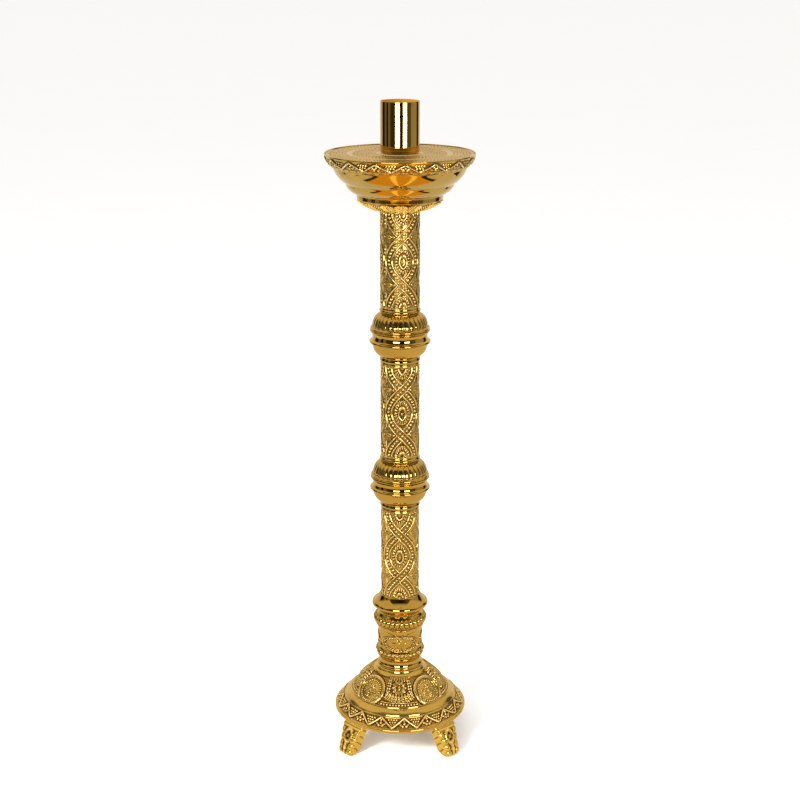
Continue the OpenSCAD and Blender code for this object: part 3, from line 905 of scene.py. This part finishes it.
def foot(node, azimuth):
    """A splayed scroll foot: rounded sections along a path, with a scroll on its face and lobed cheeks."""
    s = np.linspace(0, 1, 110)
    face_r, face_z, back_r, back_z, width = (
        smoothed(np.interp(s, FOOT_KEYS, keys))
        for keys in (FOOT_FACE_R, FOOT_FACE_Z, FOOT_BACK_R, FOOT_BACK_Z, FOOT_WIDTH))
    cols, power = 144, 0.4
    phi = np.arange(cols) / cols * 2 * math.pi
    c, w = np.cos(phi)[None, :], np.sin(phi)[None, :]
    half = width[:, None] / 2
    across = np.sign(w) * np.abs(w) ** power * half
    depth_share = 0.5 + 0.5 * np.sign(c) * np.abs(c) ** power
    r = back_r[:, None] + (face_r - back_r)[:, None] * depth_share
    z = back_z[:, None] + (face_z - back_z)[:, None] * depth_share
    path = along(np.column_stack([face_r, face_z]))[:, None]
    total = path[-1, 0]
    on_face = np.clip((c - 0.02) / 0.25, 0, 1)
    on_cheek = np.clip((np.abs(w) - 0.5) / 0.25, 0, 1) * (1 - on_face)
    # Scroll: a looped ridge round a sunk eye with a pearl, over a spine that runs down to the toe
    loop = np.hypot(across / 5.0, (path - 12.0) / 6.8)
    face = 1.1 * rise((loop - 1) * 5, 1.5, 0.6)
    face = np.maximum(face, np.where(loop < 0.8, 1.6 * blob(across, path - 12.6, 2.0, 3.2) - 0.7, 0))
    face = np.maximum(face, 1.2 * rise(across, 1.9) * np.clip((path - 19.5) / 2, 0, 1))
    # Leaf lobes along both edges of the face, and a rolled rim under the flange
    lobe = folded(path - 9.0, FOOT_LOBE)
    edge = 1.1 * blob(np.abs(across) - half + 3.2, lobe, 3.4, 3.5, 0.5)
    face = np.maximum(face, edge * np.clip((path - 4.8) / 2, 0, 1) * np.clip((total - 5 - path) / 2, 0, 1))
    face = np.maximum(face, 0.9 * rise(path - 3.0, 1.2))
    for toe in (-5.4, 0, 5.4):
        face = np.maximum(face, 1.3 * blob(across - toe, path - (total - 6.0), 2.9, 3.6))
    cheek_u = (depth_share - 0.5) * 14
    lobed = np.abs(np.cos(np.pi * (path - 1.8 + 0.7 * cheek_u) / FOOT_LOBE)) ** 0.5 - 0.4
    fade = np.clip(np.minimum(path, total - path) / 1.2, 0, 1)
    relief = (face * on_face + lobed * on_cheek) * fade
    out_across = np.sign(w) * np.abs(w) ** (2 - power)
    out_depth = np.sign(c) * np.abs(c) ** (2 - power)
    tilt_r, tilt_z = (face_r - back_r)[:, None], (face_z - back_z)[:, None]
    tilt = np.hypot(tilt_r, tilt_z) + 1e-6
    across = across + out_across * (relief - 0.3)
    r = r + out_depth * tilt_r / tilt * (relief - 0.5)
    z = np.clip(z + out_depth * tilt_z / tilt * relief, 0.0, base_low)
    a = math.radians(azimuth)
    points = np.stack([r * math.sin(a) + across * math.cos(a), -r * math.cos(a) + across * math.sin(a), z],
                      axis=-1)
    ends = [row.mean(axis=0) + (row - row.mean(axis=0)) * 0.02 for row in (points[0], points[-1])]
    points = np.concatenate([ends[0][None], points, ends[1][None]])
    hollow = np.zeros(points.shape[:2])
    hollow[1:-1] = sunk(relief) * 0.8
    new_piece(node + "_cast", points, bright_cast, [node], hollow, flipped=True)


for foot_node, foot_azimuth in (("foot_front_right", 45), ("foot_rear_right", 135),
                                ("foot_rear_left", 225), ("foot_front_left", 315)):
    foot(foot_node, foot_azimuth)
    turn_by = math.radians(foot_azimuth)
    threaded_rod(foot_node + "_stud", base_low - 1.0, base_low + 9.2, 2.5, 0.8, 4.8,
                 (STUD_CIRCLE_R * math.sin(turn_by), -STUD_CIRCLE_R * math.cos(turn_by)), ())

# ---- Plain hardware that stays as its CAD solid ----

for name, material, slot in (("foot_washers", steel, "steel"), ("foot_nuts", steel, "steel"),
                             ("base_washer", steel, "steel"), ("base_nut", steel, "steel"),
                             ("socket_washer", steel, "steel"), ("pan_spacer", brass, "plain_brass"),
                             ("socket_hub", brass, "plain_brass")):
    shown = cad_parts[name]
    shown.data.materials.clear()
    shown.data.materials.append(material)
    shown.data.shade_smooth()
    shown.data.set_sharp_from_angle(angle=math.radians(30))

# ---- Studio: pale floor, soft lights, surroundings that the metal mirrors, and the camera ----


def smooth_step(nodes, value, start, end):
    return nodes.add("ShaderNodeMapRange", {"Value": value, "From Min": start, "From Max": end},
                     interpolation_type="SMOOTHSTEP").outputs["Result"]


# Brightness of the room that the metal mirrors, by azimuth: dark in front, panels at the sides, paper behind
ROOM = ((-180, 0.85), (-150, 0.85), (-128, 0.60), (-121, 0.45), (-119, 0.012), (-99, 0.012), (-97, 0.22),
        (-84, 0.16), (-82, 0.010), (-72, 0.010), (-70, 0.26), (-58, 0.18), (-56, 0.055), (-28, 0.035),
        (0, 0.010), (18, 0.015), (42, 0.090), (66, 0.120), (70, 0.38), (100, 0.42), (113, 0.34),
        (116, 0.012), (132, 0.012), (135, 0.60), (150, 0.85), (180, 0.85))


def room_by_azimuth(nodes, x, y):
    """Brightness of the room in the direction (x, y), and how far that direction is turned from the front."""
    azimuth = nodes.open_maths("ARCTAN2", x, nodes.open_maths("MULTIPLY", y, -1.0))
    ramp = nodes.add("ShaderNodeValToRGB", {0: nodes.ranged(azimuth, -math.pi, math.pi, 0.0, 1.0)})
    stops = ramp.color_ramp.elements
    for azimuth_deg, _ in ROOM[1:-1]:
        stops.new(azimuth_deg / 360 + 0.5)
    for stop, (_, level) in zip(stops, ROOM):
        stop.color = (level, level * 0.94, level * 0.84, 1)
    return ramp.outputs[0], azimuth


# Colours of the painted reflection that the floor shows to mirrored rays
PAPER = (0.74, 0.73, 0.70, 1)
TAN = (0.74, 0.70, 0.60, 1)
WARM_PAPER = (0.78, 0.66, 0.43, 1)
DARK = (0.015, 0.010, 0.008, 1)


def floor():
    """Pale paper for the camera. For mirrored rays the floor glows with a painted reflection instead: paper
    behind, a wooden table in front, then dark.
    """
    size = 60.0
    mesh = bpy.data.meshes.new("studio_floor")
    mesh.from_pydata([(-size, -size, 0), (size, -size, 0), (size, size, 0), (-size, size, 0)], [],
                     [(0, 1, 2, 3)])
    material = bpy.data.materials.new("pale_floor")
    material.use_nodes = True
    tree = material.node_tree
    nodes = Nodes(tree)
    place = nodes.add("ShaderNodeNewGeometry").outputs["Position"]
    paper = nodes.mixed(nodes.noise(place, 3.0, 4.0), (0.93, 0.93, 0.925, 1), (0.95, 0.95, 0.945, 1))
    shader = tree.nodes["Principled BSDF"]
    tree.links.new(paper, shader.inputs["Base Color"])
    shader.inputs["Roughness"].default_value = 0.7
    xyz = nodes.add("ShaderNodeSeparateXYZ", {0: place})
    x, y = xyz.outputs["X"], xyz.outputs["Y"]
    aside = nodes.open_maths("ABSOLUTE", x)
    away = nodes.add("ShaderNodeVectorMath", {0: place}, operation="LENGTH").outputs["Value"]
    room, toward = room_by_azimuth(nodes, x, y)
    streaks = nodes.add("ShaderNodeMapping", {"Vector": place, "Scale": (5.0, 70.0, 1.0)}).outputs[0]
    grain = nodes.noise(streaks, 1.0, 4.0)
    wood = nodes.mixed(grain, (0.80, 0.36, 0.025, 1), (1.0, 0.52, 0.045, 1))
    # Painted reflections of the two softboxes on the glossy wood, at their azimuths
    for azimuth, half in ((-13, 9), (30, 8)):
        off = nodes.open_maths("ABSOLUTE", nodes.open_maths("SUBTRACT", toward, math.radians(azimuth)))
        sheen = smooth_step(nodes, off, math.radians(half), math.radians(half * 0.4))
        wood = nodes.mixed(sheen, wood, (1.5, 1.05, 0.30, 1))
    table = smooth_step(nodes, y, 0.03, -0.04)
    mirrored = nodes.mixed(table, PAPER, wood)
    off_table = smooth_step(nodes, aside, 0.46, 0.50)
    mirrored = nodes.mixed(nodes.maths("MULTIPLY", off_table, table), mirrored, TAN)
    # Painted dark patches beside the table in the reflection
    beside = nodes.maths("MULTIPLY", smooth_step(nodes, aside, 0.42, 0.46),
                         smooth_step(nodes, aside, 0.58, 0.53))
    beside = nodes.maths("MULTIPLY", beside, smooth_step(nodes, y, 0.02, -0.04))
    mirrored = nodes.mixed(beside, mirrored, DARK)
    # Painted reflection by ray length: what mirrors the floor from low down sees plain paper near it and the
    # dark front beyond
    ray = nodes.add("ShaderNodeLightPath")
    incoming = nodes.add("ShaderNodeNewGeometry").outputs["Incoming"]
    slope = nodes.add("ShaderNodeSeparateXYZ", {0: incoming}).outputs["Z"]
    above = nodes.open_maths("MULTIPLY", ray.outputs["Ray Length"], slope)
    front = nodes.maths("MULTIPLY", smooth_step(nodes, y, -0.06, -0.14), smooth_step(nodes, away, 0.70, 0.78))
    low_down = nodes.mixed(front, WARM_PAPER, DARK)
    mirrored = nodes.mixed(smooth_step(nodes, above, 0.60, 0.57), mirrored, low_down)
    far = nodes.maths("MAXIMUM", smooth_step(nodes, y, -0.95, -1.05), smooth_step(nodes, away, 1.10, 1.16))
    flank = nodes.maths("MULTIPLY", off_table, smooth_step(nodes, away, 0.80, 0.86))
    far = nodes.maths("MAXIMUM", far, nodes.maths("MULTIPLY", flank, table))
    mirrored = nodes.mixed(far, mirrored, room)
    # The painted reflection glows only for mirrored rays; the camera and soft light see the pale paper
    glow = nodes.add("ShaderNodeEmission", {"Color": mirrored})
    chosen = nodes.add("ShaderNodeMixShader", {0: ray.outputs["Is Glossy Ray"],
                                               1: shader.outputs[0], 2: glow.outputs[0]})
    tree.links.new(chosen.outputs[0], tree.nodes["Material Output"].inputs["Surface"])
    mesh.materials.append(material)
    obj = bpy.data.objects.new("studio_floor", mesh)
    bpy.context.scene.collection.objects.link(obj)


def placed(name, data, location, rotation):
    """A light or a camera in the scene."""
    obj = bpy.data.objects.new(name, data)
    obj.location, obj.rotation_euler = location, rotation
    bpy.context.scene.collection.objects.link(obj)
    return obj


def softbox(name, azimuth, width_deg):
    """An upright lit panel that faces the axis, as wide as width_deg when seen from there."""
    distance, low, high, radiance = 1.30, 0.28, 0.64, 10.0
    width = 2 * distance * math.tan(math.radians(width_deg / 2))
    data = bpy.data.lights.new(name, "AREA")
    data.shape = "RECTANGLE"
    data.size, data.size_y = width, high - low
    data.energy = radiance * math.pi * width * (high - low)
    a = math.radians(azimuth)
    place = (distance * math.sin(a), -distance * math.cos(a), (low + high) / 2)
    placed(name, data, place, (math.radians(90), 0, a)).visible_camera = False


def key_lamp():
    """Large soft lamp on the front left for the paper and the hazed relief, unseen in the polish."""
    data = bpy.data.lights.new("key_lamp", "AREA")
    data.size, data.energy, data.color = 0.5, 55.0, (1.0, 0.95, 0.86)
    place = mathutils.Vector((-1.0, -1.3, 1.25))
    toward = mathutils.Vector((0, 0, 0.35)) - place
    lamp = placed("key_lamp", data, place, toward.to_track_quat("-Z", "Y").to_euler())
    lamp.visible_camera = lamp.visible_glossy = False


def surroundings():
    """White for the camera and for soft light; the metal mirrors the room instead."""
    world = bpy.data.worlds.new("studio")
    bpy.context.scene.world = world
    world.use_nodes = True
    tree = world.node_tree
    tree.nodes.clear()
    nodes = Nodes(tree)
    direction = nodes.add("ShaderNodeTexCoord").outputs["Generated"]
    parts = nodes.add("ShaderNodeSeparateXYZ", {0: direction})
    ramp, azimuth = room_by_azimuth(nodes, parts.outputs["X"], parts.outputs["Y"])
    ahead = smooth_step(nodes, nodes.open_maths("ABSOLUTE", azimuth), math.radians(64), math.radians(48))
    height = nodes.open_maths("SUBTRACT", parts.outputs["Z"], nodes.maths("MULTIPLY", ahead, 0.36))
    room = nodes.mixed(smooth_step(nodes, height, 0.38, 0.60), ramp, (0.74, 0.64, 0.43, 1))
    mirror = nodes.add("ShaderNodeLightPath").outputs["Is Glossy Ray"]
    colour = nodes.mixed(mirror, (1.06, 1.06, 1.06, 1), room)
    background = nodes.add("ShaderNodeBackground", {"Color": colour, "Strength": 1.0})
    output = nodes.add("ShaderNodeOutputWorld")
    tree.links.new(background.outputs[0], output.inputs["Surface"])


def camera():
    """Looks down at the candlestick from in front, a little from the right."""
    distance, height, tilt, turn = 1.548, 0.8435, 16.42, 1.2
    data = bpy.data.cameras.new("camera")
    data.sensor_width, data.lens = 36.0, 68.55
    data.clip_end = 200
    a = math.radians(turn)
    place = (distance * math.sin(a), -distance * math.cos(a), height)
    bpy.context.scene.camera = placed("camera", data, place, (math.radians(90 - tilt), 0, a))


floor()
surroundings()
key_lamp()
softbox("left_softbox", -13.3, 25)
softbox("right_softbox", 30, 21)
camera()
bpy.context.scene.view_settings.view_transform = "Standard"
